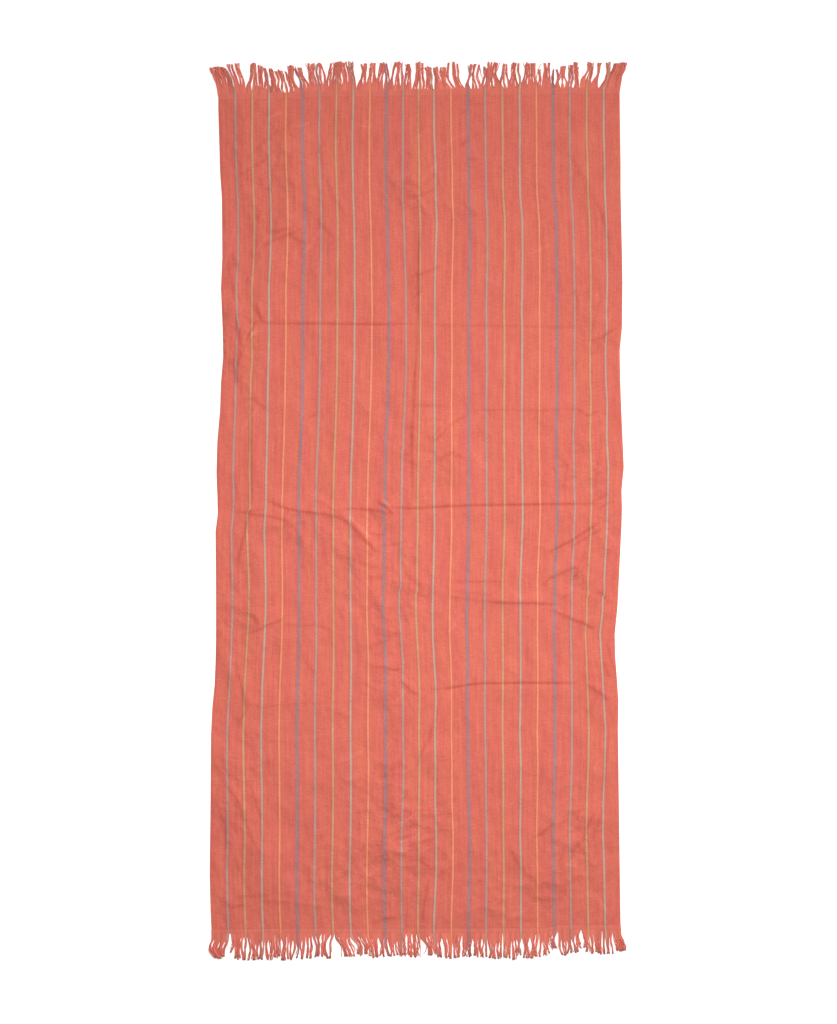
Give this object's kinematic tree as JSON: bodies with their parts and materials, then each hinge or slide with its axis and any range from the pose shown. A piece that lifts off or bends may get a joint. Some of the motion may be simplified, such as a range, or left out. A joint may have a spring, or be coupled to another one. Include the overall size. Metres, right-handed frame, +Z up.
{
  "type": "fouta towel",
  "caption": "Large flat-woven cotton towel with thin coloured lengthwise stripes and a fringe at both short ends, laid out flat with its storage folds.",
  "frame": {"origin": "centre of the towel's box, on the underside that rests on the surface", "axes": "+X across the towel, to the right as it is seen from above; +Y along the towel, towards the end that is at the top of the picture; +Z up out of the cloth"},
  "size_m": [0.9232, 1.993, 0.0076],
  "materials": {
    "cloth": "brushed coral cotton with a short nap and thin stripes in grey-teal, olive gold, pale mint, orange and violet blue",
    "fringe": "flat-woven coral cotton heading and loose cotton yarns, some in the stripe colours"
  },
  "bodies": {
    "root": {"panel": "cloth", "fringe_far": "fringe", "fringe_near": "fringe"}
  },
  "joints": []
}
